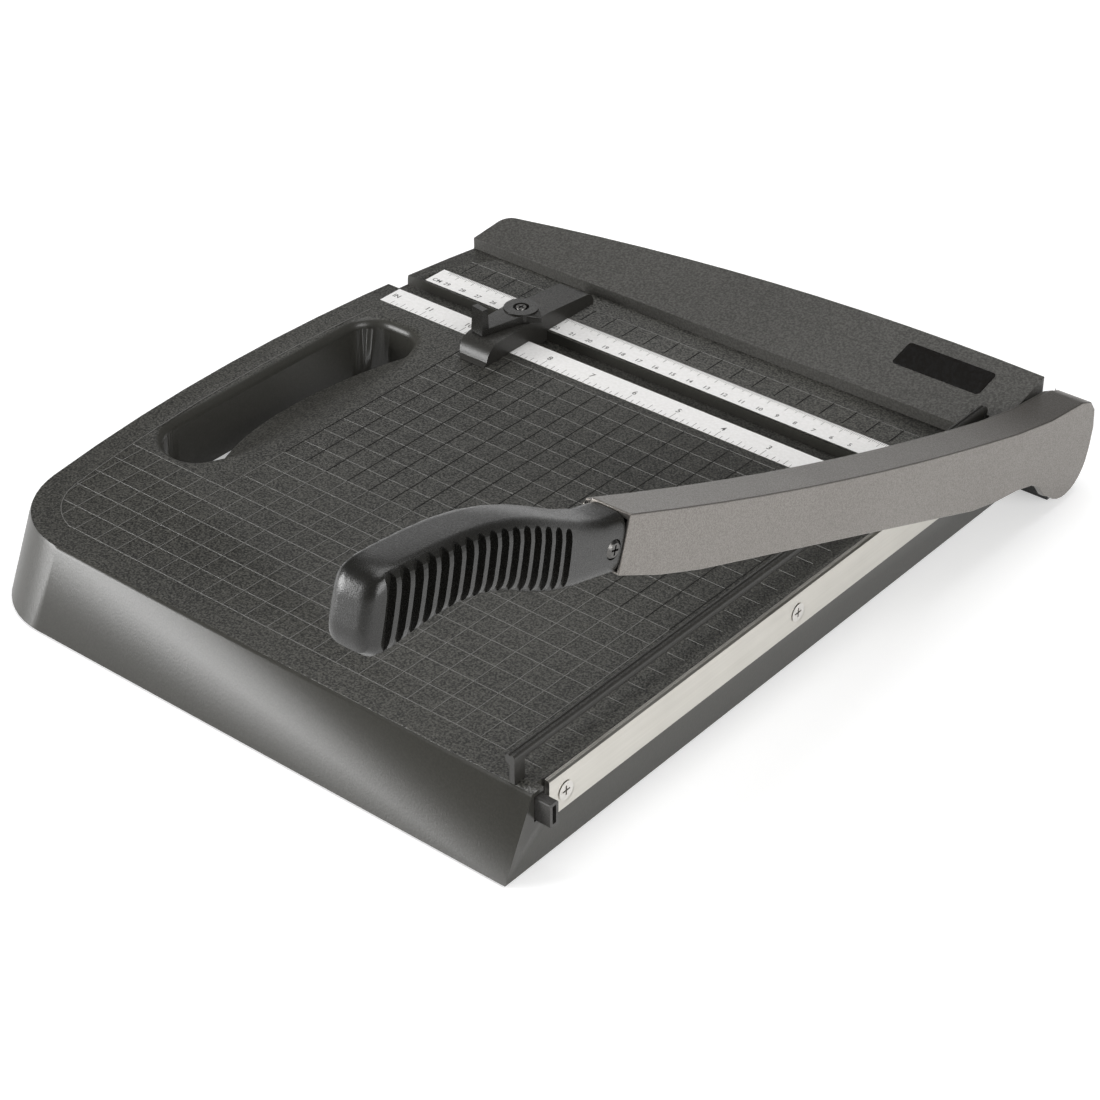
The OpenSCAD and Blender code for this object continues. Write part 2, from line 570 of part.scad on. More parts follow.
bush_r = bolt_r + 1.5;
module pivot_bush() color([0.72, 0.58, 0.32]) arm_frame() difference() {
    rod_x(bush_r, 0.15, web_x + web_t);
    rod_x(bolt_r + fit, -1, web_x + web_t + 1);
}
blade_back = 15;                    // blade above the arm's lower edge
module cutting_blade() color(steel) arm_frame() difference() {
    across(0.1, 0.1 + blade_t) polygon(concat(
        [for (i = [0:10]) let (u = 86 + (arm_len - 8 - 86) * i / 10) [u, low_w(u) - blade_drop]],
        [[arm_len - 6, low_w(arm_len) - blade_drop + 8], [arm_len - 6, low_w(arm_len) + 4]],
        [for (i = [0:10]) let (u = arm_len - 8 + (86 - arm_len + 8) * i / 10) [u, low_w(u) + blade_back]],
        [[40, 8], [8, 11]], arc([0, 0], 11.5, 90, 250, 10), [[14, -13], [40, -15.5], [66, -16.4]]));
    rod_x(bush_r, -1, blade_t + 1);
    for (u = blade_u) translate([0.1, -u, blade_screw_w(u)]) rotate([0, -90, 0]) flat_hole(1.9, 3, 3.1);
}
module blade_screws() color(steel) arm_frame() for (u = blade_u)
    translate([0.1, -u, blade_screw_w(u)]) rotate([0, -90, 0]) flat_screw(1.55, 4.4, 2.9);

// ---- grip: [distance from the arm's mouth, underside, top] in the arm's frame ----
grip_rows = [[0.3, 11, 34.6], [12, 11, 34], [25, 10.6, 36.2], [39, 12, 39.9], [52, 14.8, 42.8],
    [64, 18, 44.4], [77, 19.4, 45.1], [90, 18.5, 44.5], [102, 15.6, 43], [113, 11.6, 41.2],
    [121, 8.4, 39.8], [127, 7.8, 38.4], [130.6, 9.6, 36.2], [132.6, 13.2, 32.6], [133.4, 18, 27.6]];
grip_half = [9.8, 10, 10.3, 10.8, 11.1, 11.3, 11.4, 11.4, 11.3, 11.2, 11, 10.5, 9.4, 7.4, 4.6];
grip_mid = (web_x + outer_x) / 2;
grip_n = 28;
// one rounded section of the grip
function grip_ring(i) = let (g = grip_rows[i], u = arm_len + g[0] * grip_len / 131,
    h = (g[2] - g[1]) / 2, m = (g[2] + g[1]) / 2)
    [for (k = [0:grip_n - 1]) let (a = 360 * k / grip_n, c = cos(a), s = sin(a))
        [grip_mid + grip_half[i] * sign(c) * pow(abs(c), 0.5), -u, m + h * sign(s) * pow(abs(s), 0.5)]];
module skin(rings, n) {
    pts = [for (r = rings) for (p = r) p];
    last = len(rings) - 1;
    polyhedron(pts, concat([[for (k = [0:n - 1]) k]], [[for (k = [n - 1:-1:0]) last * n + k]],
        [for (i = [0:last - 1], k = [0:n - 1]) let (a = i * n + k, b = i * n + (k + 1) % n)
            each [[a, a + n, b], [b, a + n, b + n]]]), convexity = 6);
}
groove_n = 16;
groove_w = 4;
grip_screw_u = arm_len + 5.5;
module grip() color([0.10, 0.10, 0.10]) arm_frame() difference() {
    skin([for (i = [0:len(grip_rows) - 1]) grip_ring(i)], grip_n);
    tang(0.1);
    // finger grooves down both sides
    for (i = [0:groove_n - 1]) let (s = (30.5 + i * 6.25) * grip_len / 131,
        w0 = lookup(s, grip_low) + 2.2, w1 = lookup(s, grip_top) - 3.4)
        translate([grip_mid, -arm_len - s, 0]) rotate([7 - i * 0.3, 0, 0])
        for (side = [0, 1]) mirror([side, 0, 0]) translate([8.5, 0, w0]) rotate([0, -3, 0]) {
            translate([0, -groove_w / 2, 0]) cube([5.9, groove_w, w1 - w0]);
            for (w = [0, w1 - w0]) translate([0, 0, w]) rod_x(groove_w / 2, 0, 5.9);
        }
    translate([0, -grip_screw_u, tang_w(grip_screw_u)]) {
        rod_x(2, web_x, outer_x);
        rod_x(4, grip_mid + 8.6, outer_x + 1);
        rod_x(4, web_x - 1, grip_mid - 8.6);
    }
}
grip_low = [for (g = grip_rows) [g[0] * grip_len / 131, g[1]]];
grip_top = [for (g = grip_rows) [g[0] * grip_len / 131, g[2]]];
module grip_screws() color(steel) arm_frame()
    translate([grip_mid, -grip_screw_u, tang_w(grip_screw_u)]) for (s = [0, 1]) mirror([s, 0, 0])
    translate([8.6, 0, 0]) rotate([0, 90, 0]) pan_screw(1.9, 8.2, 3.6, 1.9);

// ---- paper guide, in the channel ----
guide_y0 = inch_y - 19.3;
guide_y1 = cm_y + ruler_w + 19.5;
guide_top = deck_h + guide_h;
hub = [-guide_x - 8.5, slot_y];
module guide_section(inset) polygon(concat(
    [[guide_y0 + inset, deck_h + 0.3]],
    arc([guide_y0 + 12, guide_top - 10], 10 - inset, 166, 90, 8),
    [[guide_y1 - 34, guide_top - inset]],
    arc([guide_y1 - 6, guide_top - 8.5], 6 - inset, 80, 10, 5),
    [[guide_y1 - inset, deck_h + 0.3]]));
module guide_fence() color(plastic) place() difference() {
    union() {
        intersection() {
            translate([-guide_x - guide_w, 0, 0]) rotate([90, 0, 90]) linear_extrude(guide_w)
                guide_section(0);
            translate([-guide_x - guide_w, guide_y0 - 1, deck_h]) linear_extrude(guide_h + 4) union() {
                translate([6, 0]) square([guide_w - 6, guide_y1 - guide_y0 + 2]);
                translate([0, 7]) square([guide_w, guide_y1 - guide_y0 - 12]);
                translate([6, 7]) circle(6);
                translate([6, guide_y1 - guide_y0 - 5]) circle(6);
            }
        }
        // runner in the channel
        box([-guide_x - guide_w + 1, -guide_x], [channel_y + slack, channel_y + channel_w - slack],
            [deck_h - channel_d + slack, deck_h + 2]);
    }
    difference() {
        translate([-guide_x - guide_w - 1, 0, 0]) rotate([90, 0, 90]) linear_extrude(guide_w + 1 - 2.4)
            difference() {
                guide_section(2.4);
                translate([0, deck_h - 5]) square([500, 5.2]);
            }
        box([-guide_x - guide_w - 2, -guide_x], [channel_y + slack, channel_y + channel_w - slack],
            [deck_h - channel_d, guide_top]);
    }
    translate([hub[0], hub[1], deck_h - channel_d - 1]) cylinder(r = 2 + fit, h = 30);
}
module clamp_nut() color(steel) place() difference() {
    union() {
        box([hub[0] - 8, hub[0] + 8], [slot_y - 6, slot_y + 6],
            [deck_h - channel_d - deck_t - slack - 3, deck_h - channel_d - deck_t - slack]);
        box([hub[0] - 6, hub[0] + 6], [slot_y - slot_w / 2 + 0.2, slot_y + slot_w / 2 - 0.2],
            [deck_h - channel_d - deck_t - slack - 1, deck_h - channel_d]);
    }
    translate([hub[0], hub[1], 0]) cylinder(r = 1.9, h = deck_h);
}
lever_r = 8.4;
lever_h = 4.4;
lever_reach = 25.5;                 // hub to the thumb tab
module clamp_lever() color(plastic) place() translate([hub[0], hub[1], guide_top + slack])
    rotate([0, 0, -lever_turn]) difference() {
        union() {
            cylinder(r = lever_r, h = lever_h);
            hull() {
                translate([-4, -lever_reach - 2, 0]) cube([8, 4, 3]);
                cylinder(r = lever_r - 1, h = lever_h - 0.6);
            }
            hull() {
                translate([lever_r + 3, 2, 0]) cylinder(r = 1, h = 2.6, $fn = 24);
                cylinder(r = lever_r - 0.6, h = lever_h - 0.8);
            }
            hull() {
                translate([-4, -lever_reach - 2.2, 0]) cube([8, 4.2, 2]);
                translate([-3.7, -lever_reach - 1.6, 12.4]) cube([7.4, 3.2, 0.8]);
            }
        }
        translate([0, 0, lever_h - 2.2]) cylinder(r = 3.9, h = 4);
        translate([0, 0, -1]) cylinder(r = 2 + fit, h = 8);
    }
module clamp_washer() color(steel) place() translate([hub[0], hub[1], guide_top + slack + lever_h - 2.2])
    difference() {
        cylinder(r = 3.6, h = 0.5);
        translate([0, 0, -1]) cylinder(r = 2 + fit, h = 3);
    }
module clamp_screw() color(steel) place() translate([hub[0], hub[1], guide_top + slack + lever_h - 1.7])
    difference() {
        union() {
            translate([0, 0, -3.6]) cylinder(r = 2, h = 3.6);
            translate([0, 0, -guide_h - channel_d - deck_t - slack - 6]) cylinder(r = 1.88,
                h = guide_h + channel_d + deck_t + slack + 4);
            translate([0, 0, -guide_h - channel_d]) cylinder(r = 2, h = guide_h + channel_d);
            cylinder(r1 = 3.3, r2 = 2.5, h = 1.6);
        }
        translate([0, 0, 1.6]) cross_recess(1.8, 1);
    }

base_shell();
rubber_feet();
back_fence();
fence_screws();
label_plate();
inch_ruler();
cm_ruler();
ledger_blade();
ledger_screws();
guard_rail();
guard_screw();
latch_retainer();
retainer_screw();
pivot_bracket();
bracket_screws();
pivot_bolt();
bolt_washer();
cup_washers();
pivot_nut();
arm_casting();
cutting_blade();
blade_screws();
pivot_bush();
grip();
grip_screws();
guide_fence();
clamp_nut();
clamp_lever();
clamp_screw();
clamp_washer();
arm_latch();
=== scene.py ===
import json
import math
import bmesh
import bpy
from mathutils import Matrix, Vector

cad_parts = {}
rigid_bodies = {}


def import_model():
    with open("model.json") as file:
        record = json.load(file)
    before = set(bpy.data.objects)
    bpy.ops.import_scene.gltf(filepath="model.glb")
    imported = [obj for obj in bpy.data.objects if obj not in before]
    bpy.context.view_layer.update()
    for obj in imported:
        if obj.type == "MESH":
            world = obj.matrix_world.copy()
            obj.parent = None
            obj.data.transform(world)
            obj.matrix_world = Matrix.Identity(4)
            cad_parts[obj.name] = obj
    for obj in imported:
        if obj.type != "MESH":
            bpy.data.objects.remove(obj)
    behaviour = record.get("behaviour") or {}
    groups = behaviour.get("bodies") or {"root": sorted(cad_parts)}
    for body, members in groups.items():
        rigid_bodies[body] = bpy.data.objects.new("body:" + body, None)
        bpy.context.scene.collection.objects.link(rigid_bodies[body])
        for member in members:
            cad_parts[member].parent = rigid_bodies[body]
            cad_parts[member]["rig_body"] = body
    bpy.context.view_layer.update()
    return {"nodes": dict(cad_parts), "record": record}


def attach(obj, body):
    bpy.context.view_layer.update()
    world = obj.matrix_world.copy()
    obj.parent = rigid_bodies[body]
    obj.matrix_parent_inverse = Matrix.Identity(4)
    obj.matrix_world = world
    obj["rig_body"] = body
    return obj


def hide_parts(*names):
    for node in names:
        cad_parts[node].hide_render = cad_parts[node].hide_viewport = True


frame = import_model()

nodes = frame["nodes"]
scene = bpy.context.scene
scene.view_settings.view_transform = "Standard"
print("frame loaded:", len(nodes), "nodes")

mm = 0.001
inch = 25.4
sharpAngle = 32
# where the board's printed scales start: cutting edge, first grid line, board top
gridZero = Vector((0.158, -0.165, 0.035))


def onBoard(x, y, z=0.0):
    return gridZero + Vector((x, y, z)) * mm


def rgb(r, g, b):
    return (r, g, b, 1.0)


class NodeMaker:
    # short calls for building a node tree
    def __init__(self, tree):
        self.tree = tree

    def add(self, kind, props=None, **values):
        node = self.tree.nodes.new(kind)
        for key, value in (props or {}).items():
            setattr(node, key, value)
        for key, value in values.items():
            self.feed(node, key.replace("_", " "), value)
        return node

    def feed(self, node, socketKey, value):
        # a value is another node's output, or a constant
        socket = node.inputs[socketKey]
        if isinstance(value, bpy.types.NodeSocket):
            self.tree.links.new(value, socket)
        else:
            socket.default_value = value

    def link(self, source, target):
        self.tree.links.new(source, target)

    def compute(self, operation, *values, kind="ShaderNodeMath"):
        node = self.add(kind, {"operation": operation})
        for k, value in enumerate(values):
            self.feed(node, k, value)
        return node.outputs[0]

    def blend(self, factor, low, high, kind="FLOAT"):
        # the mix node keeps a pair of inputs and an output for each kind of value
        first, result = {"FLOAT": (2, 0), "RGBA": (6, 2)}[kind]
        node = self.add("ShaderNodeMix", {"data_type": kind})
        for k, value in ((0, factor), (first, low), (first + 1, high)):
            self.feed(node, k, value)
        return node.outputs[result]


def newGroup(name, kind, inputs, outputs):
    tree = bpy.data.node_groups.new(name, kind)
    for label, socketType, value in inputs:
        made = tree.interface.new_socket(label, in_out="INPUT", socket_type=socketType)
        if value is not None:
            made.default_value = value
    for label, socketType in outputs:
        tree.interface.new_socket(label, in_out="OUTPUT", socket_type=socketType)
    maker = NodeMaker(tree)
    return tree, maker, maker.add("NodeGroupInput"), maker.add("NodeGroupOutput")


grainLook = {
    "steep": 0.75, "level": 0.97,
    "detail": 2.0, "roughness": 0.6, "smoothness": 0.6, "speck": (0.38, 0.64),
    "cloudScale": 14.0, "cloudDetail": 3.0, "cloudRange": (0.25, 0.75), "cloudiness": 0.12,
    "middle": 0.45, "depth": 0.0003, "gloss": 0.06, "wallGloss": 0.03,
}


# moulded grain: speckled colour, and a pebbled normal
def buildGrainGroup(look):
    tree, m, gin, gout = newGroup("mouldedGrain", "ShaderNodeTree", [
        ("Dark", "NodeSocketColor", rgb(0.03, 0.03, 0.03)),
        ("Light", "NodeSocketColor", rgb(0.08, 0.08, 0.08)),
        ("Grain Scale", "NodeSocketFloat", 1400.0),
        ("Bump", "NodeSocketFloat", 0.3),
        ("Wall Grain", "NodeSocketFloat", 1.0)],
        [("Color", "NodeSocketColor"), ("Normal", "NodeSocketVector"),
         ("Mask", "NodeSocketFloat"), ("Level", "NodeSocketFloat")])
    place = m.add("ShaderNodeTexCoord").outputs["Object"]
    # steep faces can have less grain than level ones
    lean = m.add("ShaderNodeSeparateXYZ",
                 Vector=m.add("ShaderNodeNewGeometry").outputs["True Normal"])
    level = m.add("ShaderNodeMapRange", {"interpolation_type": "SMOOTHSTEP"},
                  Value=lean.outputs["Z"], From_Min=look["steep"], From_Max=look["level"])
    share = m.blend(level.outputs[0], gin.outputs["Wall Grain"], 1.0)
    fine = m.add("ShaderNodeTexNoise", Vector=place, Scale=gin.outputs["Grain Scale"],
                 Detail=look["detail"], Roughness=look["roughness"])
    pebble = m.add("ShaderNodeTexVoronoi", {"feature": "SMOOTH_F1"}, Vector=place,
                   Scale=gin.outputs["Grain Scale"], Smoothness=look["smoothness"])
    cloud = m.add("ShaderNodeTexNoise", Vector=place, Scale=look["cloudScale"],
                  Detail=look["cloudDetail"])
    speck = m.add("ShaderNodeMapRange", Value=fine.outputs["Fac"], From_Min=look["speck"][0],
                  From_Max=look["speck"][1])
    shade = m.add("ShaderNodeMapRange", Value=cloud.outputs["Fac"],
                  From_Min=look["cloudRange"][0], From_Max=look["cloudRange"][1],
                  To_Min=-1.0, To_Max=1.0)
    drift = m.compute("MULTIPLY_ADD", shade.outputs[0], look["cloudiness"], speck.outputs[0])
    centred = m.compute("SUBTRACT", drift, look["middle"])
    calm = m.compute("MULTIPLY_ADD", centred, share, look["middle"])
    clear = m.add("ShaderNodeClamp", Value=calm)
    color = m.blend(clear.outputs[0], gin.outputs["Dark"], gin.outputs["Light"], "RGBA")
    height = m.compute("SUBTRACT", fine.outputs["Fac"], pebble.outputs["Distance"])
    strength = m.compute("MULTIPLY", gin.outputs["Bump"], share)
    bump = m.add("ShaderNodeBump", Strength=strength, Distance=look["depth"], Height=height)
    m.link(level.outputs[0], gout.inputs["Level"])
    m.link(color, gout.inputs["Color"])
    m.link(bump.outputs[0], gout.inputs["Normal"])
    m.link(clear.outputs[0], gout.inputs["Mask"])
    return tree


brushLook = {
    "detail": 4.0, "lineShare": 0.7, "stainScale": 45.0, "stainShare": 0.5,
    "smooth": 0.22, "rough": 0.42, "depth": 0.0001,
}


# drawn metal: long fine scratches across one axis, and small stains
def buildBrushGroup(look):
    tree, m, gin, gout = newGroup("brushedMetal", "ShaderNodeTree", [
        ("Dark", "NodeSocketColor", rgb(0.5, 0.5, 0.5)),
        ("Light", "NodeSocketColor", rgb(0.8, 0.8, 0.8)),
        ("Stretch", "NodeSocketVector", (900.0, 12.0, 900.0)),
        ("Bump", "NodeSocketFloat", 0.1)],
        [("Color", "NodeSocketColor"), ("Normal", "NodeSocketVector"),
         ("Roughness", "NodeSocketFloat")])
    place = m.add("ShaderNodeTexCoord").outputs["Object"]
    pull = m.compute("MULTIPLY", place, gin.outputs["Stretch"], kind="ShaderNodeVectorMath")
    lines = m.add("ShaderNodeTexNoise", Vector=pull, Scale=1.0, Detail=look["detail"])
    stain = m.add("ShaderNodeTexNoise", Vector=place, Scale=look["stainScale"],
                  Detail=look["detail"])
    scratched = m.compute("MULTIPLY", lines.outputs["Fac"], look["lineShare"])
    total = m.compute("MULTIPLY_ADD", stain.outputs["Fac"], look["stainShare"], scratched)
    color = m.blend(total, gin.outputs["Dark"], gin.outputs["Light"], "RGBA")
    rough = m.add("ShaderNodeMapRange", Value=total, To_Min=look["smooth"],
                  To_Max=look["rough"])
    bump = m.add("ShaderNodeBump", Strength=gin.outputs["Bump"], Distance=look["depth"],
                 Height=lines.outputs["Fac"])
    m.link(color, gout.inputs["Color"])
    m.link(bump.outputs[0], gout.inputs["Normal"])
    m.link(rough.outputs[0], gout.inputs["Roughness"])
    return tree


grainGroup = buildGrainGroup(grainLook)
brushGroup = buildBrushGroup(brushLook)


def newMaterial(name):
    mat = bpy.data.materials.new(name)
    mat.use_nodes = True
    return mat, NodeMaker(mat.node_tree), mat.node_tree.nodes["Principled BSDF"]


def grainMaterial(name, dark, light, scale, bump, roughness, metallic=0.0, specular=0.5,
                  wallGrain=1.0, wallRoughness=None):
    mat, m, shader = newMaterial(name)
    grain = m.add("ShaderNodeGroup", {"node_tree": grainGroup}, Dark=rgb(*dark),
                  Light=rgb(*light), Grain_Scale=scale, Bump=bump, Wall_Grain=wallGrain)

    def aroundMask(middle, reach):
        # rough in the grain's dark spots, smooth on its light ones
        return m.add("ShaderNodeMapRange", Value=grain.outputs["Mask"],
                     To_Min=middle + reach, To_Max=middle - reach).outputs[0]

    rough = aroundMask(roughness, grainLook["gloss"])
    if wallRoughness is not None:
        calm = aroundMask(wallRoughness, grainLook["wallGloss"])
        rough = m.blend(grain.outputs["Level"], calm, rough)
    m.link(rough, shader.inputs["Roughness"])
    m.link(grain.outputs["Color"], shader.inputs["Base Color"])
    m.link(grain.outputs["Normal"], shader.inputs["Normal"])
    shader.inputs["Metallic"].default_value = metallic
    shader.inputs["Specular IOR Level"].default_value = specular
    return mat


def brushMaterial(name, dark, light, stretch, bump):
    mat, m, shader = newMaterial(name)
    brush = m.add("ShaderNodeGroup", {"node_tree": brushGroup}, Dark=rgb(*dark),
                  Light=rgb(*light), Stretch=stretch, Bump=bump)
    m.link(brush.outputs["Color"], shader.inputs["Base Color"])
    m.link(brush.outputs["Normal"], shader.inputs["Normal"])
    m.link(brush.outputs["Roughness"], shader.inputs["Roughness"])
    shader.inputs["Metallic"].default_value = 1.0
    return mat


grainFinishes = {
    "base_plastic": {
        "name": "boardPlastic", "dark": (0.007, 0.0066, 0.0052), "light": (0.078, 0.076, 0.066),
        "scale": 1050, "bump": 0.6, "roughness": 0.46, "wallGrain": 0.1, "wallRoughness": 0.33},
    "fence_plastic": {
        "name": "fencePlastic", "dark": (0.030, 0.0285, 0.025), "light": (0.076, 0.074, 0.067),
        "scale": 900, "bump": 0.45, "roughness": 0.5, "wallGrain": 0.6},
    "foot_rubber": {
        "name": "footRubber", "dark": (0.012, 0.012, 0.012), "light": (0.03, 0.03, 0.03),
        "scale": 700, "bump": 0.2, "roughness": 0.75, "specular": 0.3},
    "label_black": {
        "name": "labelBlack", "dark": (0.004, 0.0036, 0.0032), "light": (0.009, 0.008, 0.007),
        "scale": 500, "bump": 0.02, "roughness": 0.2, "specular": 0.25},
    "ruler_print": {
        "name": "rulerWhite", "dark": (0.82, 0.81, 0.795), "light": (0.88, 0.87, 0.86),
        "scale": 600, "bump": 0.04, "roughness": 0.5, "specular": 0.3},
    "guard_plastic": {
        "name": "guardPlastic", "dark": (0.010, 0.0095, 0.0082), "light": (0.045, 0.0435, 0.039),
        "scale": 1300, "bump": 0.3, "roughness": 0.36, "wallGrain": 0.2},
    "latch_plastic": {
        "name": "latchPlastic", "dark": (0.024, 0.023, 0.021), "light": (0.05, 0.048, 0.045),
        "scale": 1800, "bump": 0.15, "roughness": 0.36},
    "bracket_paint": {
        "name": "bracketPaint", "dark": (0.014, 0.014, 0.014), "light": (0.032, 0.032, 0.031),
        "scale": 1200, "bump": 0.25, "roughness": 0.45},
    "arm_coat": {
        "name": "armCoat", "dark": (0.18, 0.166, 0.152), "light": (0.255, 0.24, 0.222),
        "scale": 1900, "bump": 0.08, "roughness": 0.34, "metallic": 0.85},
    "grip_plastic": {
        "name": "gripPlastic", "dark": (0.007, 0.0068, 0.006), "light": (0.016, 0.0155, 0.0135),
        "scale": 1700, "bump": 0.10, "roughness": 0.30},
    "lever_plastic": {
        "name": "leverPlastic", "dark": (0.010, 0.0095, 0.0085), "light": (0.026, 0.025, 0.022),
        "scale": 1800, "bump": 0.12, "roughness": 0.30},
}
brushFinishes = {
    "blade_steel": {
        "name": "groundSteel", "dark": (0.53, 0.512, 0.468), "light": (0.72, 0.70, 0.65),
        "stretch": (500.0, 14.0, 700.0), "bump": 0.1},
    "screw_steel": {
        "name": "screwSteel", "dark": (0.55, 0.53, 0.50), "light": (0.80, 0.78, 0.75),
        "stretch": (400.0, 400.0, 400.0), "bump": 0.05},
    "dark_steel": {
        "name": "darkSteel", "dark": (0.05, 0.049, 0.045), "light": (0.16, 0.155, 0.15),
        "stretch": (400.0, 400.0, 400.0), "bump": 0.05},
    "zinc_steel": {
        "name": "zincSteel", "dark": (0.42, 0.42, 0.43), "light": (0.66, 0.66, 0.66),
        "stretch": (250.0, 250.0, 250.0), "bump": 0.05},
    "bush_brass": {
        "name": "bushBrass", "dark": (0.55, 0.40, 0.18), "light": (0.78, 0.60, 0.32),
        "stretch": (300.0, 900.0, 900.0), "bump": 0.1},
}
lineFinishes = {
    # grid ribs of the deck's own plastic, coloured lighter than the deck as a painted highlight
    "gridPaintedHighlight": {
        "dark": (0.10, 0.098, 0.092), "light": (0.17, 0.168, 0.16),
        "scale": 1500, "bump": 0.1, "roughness": 0.35},
    # the same grid ribs coloured much darker, a painted shade
    "gridPaintedShade": {
        "dark": (0.008, 0.0078, 0.007), "light": (0.026, 0.025, 0.023),
        "scale": 1500, "bump": 0.1, "roughness": 0.6, "specular": 0.2},
    "rulerInk": {
        "dark": (0.10, 0.098, 0.095), "light": (0.20, 0.195, 0.19),
        "scale": 900, "bump": 0.02, "roughness": 0.6, "specular": 0.2},
}
finishes = {slot: grainMaterial(**look) for slot, look in grainFinishes.items()}
finishes.update({slot: brushMaterial(**look) for slot, look in brushFinishes.items()})
inks = {name: grainMaterial(name, **look) for name, look in lineFinishes.items()}
slotOf = {row["node"]: row["material_slot"] for row in frame["record"]["subparts"]}
for name, node in nodes.items():
    node.data.materials.clear()
    node.data.materials.append(finishes[slotOf[name]])
print("finishes made:", len(finishes) + len(inks))


def putInScene(obj):
    scene.collection.objects.link(obj)
    return obj


def plainMesh(obj):
    # what the object's modifiers make of it; the object itself goes
    graph = bpy.context.evaluated_depsgraph_get()
    mesh = bpy.data.meshes.new_from_object(obj.evaluated_get(graph), depsgraph=graph)
    bpy.data.objects.remove(obj)
    return mesh


def flatten(obj, name, material):
    mesh = plainMesh(obj)
    mesh.name = name
    mesh.materials.clear()
    mesh.materials.append(material)
    return putInScene(bpy.data.objects.new(name, mesh))


def softEdges(mesh):
    for face in mesh.polygons:
        face.use_smooth = True
    mesh.set_sharp_from_angle(angle=math.radians(sharpAngle))


weldLook = {"merge": 4e-6, "sliver": 2e-6, "flat": 0.3}


def refine(name, look):
    # a welded copy of a solid with its edges rounded, which stands for the node;
    # shape may change the copy first
    mesh = nodes[name].data.copy()
    if "custom_normal" in mesh.attributes:
        mesh.attributes.remove(mesh.attributes["custom_normal"])
    bm = bmesh.new()
    bm.from_mesh(mesh)
    bmesh.ops.remove_doubles(bm, verts=bm.verts, dist=weldLook["merge"])
    bmesh.ops.dissolve_degenerate(bm, dist=weldLook["sliver"], edges=bm.edges)
    bmesh.ops.dissolve_limit(bm, angle_limit=math.radians(weldLook["flat"]),
                             verts=bm.verts, edges=bm.edges)
    if "shape" in look:
        look["shape"](bm, armLook)
    weight = bm.edges.layers.float.new("bevel_weight_edge")
    for edge in bm.edges:
        if len(edge.link_faces) == 2 and edge.calc_face_angle(0) > math.radians(sharpAngle):
            edge[weight] = 1.0
    bm.to_mesh(mesh)
    bm.free()
    softEdges(mesh)
    draft = putInScene(bpy.data.objects.new(look["piece"] + "Draft", mesh))
    cutter = look["cutter"](handHole) if "cutter" in look else None
    if cutter:
        cut = draft.modifiers.new("cut", "BOOLEAN")
        cut.operation, cut.solver, cut.object = "DIFFERENCE", "EXACT", cutter
    bevel = draft.modifiers.new("edges", "BEVEL")
    bevel.width, bevel.segments = look["width"] * mm, look["segments"]
    # the cut's new edges have no weight, so there the angle chooses the edges
    bevel.limit_method = "ANGLE" if cutter else "WEIGHT"
    bevel.angle_limit = math.radians(sharpAngle)
    bevel.use_clamp_overlap = "shape" not in look
    draft.modifiers.new("shading", "WEIGHTED_NORMAL").keep_sharp = True
    piece = flatten(draft, look["piece"], finishes[slotOf[name]])
    if cutter:
        bpy.data.objects.remove(cutter)
        softEdges(piece.data)
    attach(piece, nodes[name]["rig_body"])
    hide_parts(name)
    print("piece", look["piece"], len(piece.data.polygons), "faces")


handHole = {
    "left": -299.5, "width": 48.0, "middle": 144.5, "length": 150.0,
    "corner": 14.0, "frontCorner": 22.0, "bow": 190.0,
    "lip": 5.0, "scoopLip": 8.5, "scoopDrop": 1.5,
    "scoopFrom": 26, "scoopBlend": 3.2, "scoopEase": 0.7, "scoopTail": 0.3,
    "endMargin": 4, "steps": 8, "inside": -1.2, "above": 1.0,
    "frontSteps": 10, "rightSteps": 6, "bowSteps": 24, "backSteps": 8,
}


def arcPoints(cx, cy, r, start, end, count):
    turns = [math.radians(start + (end - start) * i / count) for i in range(count + 1)]
    return [(cx + r * math.cos(t), cy + r * math.sin(t), t) for t in turns]


def holeOutline(look):
    # points round the hand hole, each with the direction that leads away from it
    corner, mid = look["corner"], look["middle"]
    e = look["length"] / 2 - corner
    bowX = look["left"] + look["width"] - look["bow"]
    k = math.sqrt((look["bow"] - corner) ** 2 - e * e)
    a = math.degrees(math.atan2(e, k))
    x0, x1 = look["left"] + corner, bowX + k
    grow = look["frontCorner"] - corner
    ring = arcPoints(x0 + grow, mid - e + grow, look["frontCorner"], 180, 270,
                     look["frontSteps"])
    ring += arcPoints(x1, mid - e, corner, 270, 360 - a, look["rightSteps"])
    ring += arcPoints(bowX, mid, look["bow"], -a, a, look["bowSteps"])[1:-1]
    ring += arcPoints(x1, mid + e, corner, a, 90, look["rightSteps"])
    ring += arcPoints(x0, mid + e, corner, 90, 180, look["backSteps"])
    return ring, e


def lipRow(share, look):
    # the lip's section, outward and up: a quarter round, or the scoop's shallow slope
    lip, slope, steps = look["lip"], look["scoopLip"], look["steps"]
    row = [(lip * (1 - share) + slope * share, look["above"])]
    for j in range(steps + 1):
        t = math.radians(90 * j / steps)
        steep = (lip * (1 - math.sin(t)), -lip * (1 - math.cos(t)))
        flat = (slope * (1 - j / steps), -look["scoopDrop"] * (j / steps) ** 2)
        row.append([steep[i] * (1 - share) + flat[i] * share for i in (0, 1)])
    row.append((look["inside"], row[-1][1] - look["scoopTail"] * share))
    row.append((look["inside"], look["above"]))
    return row


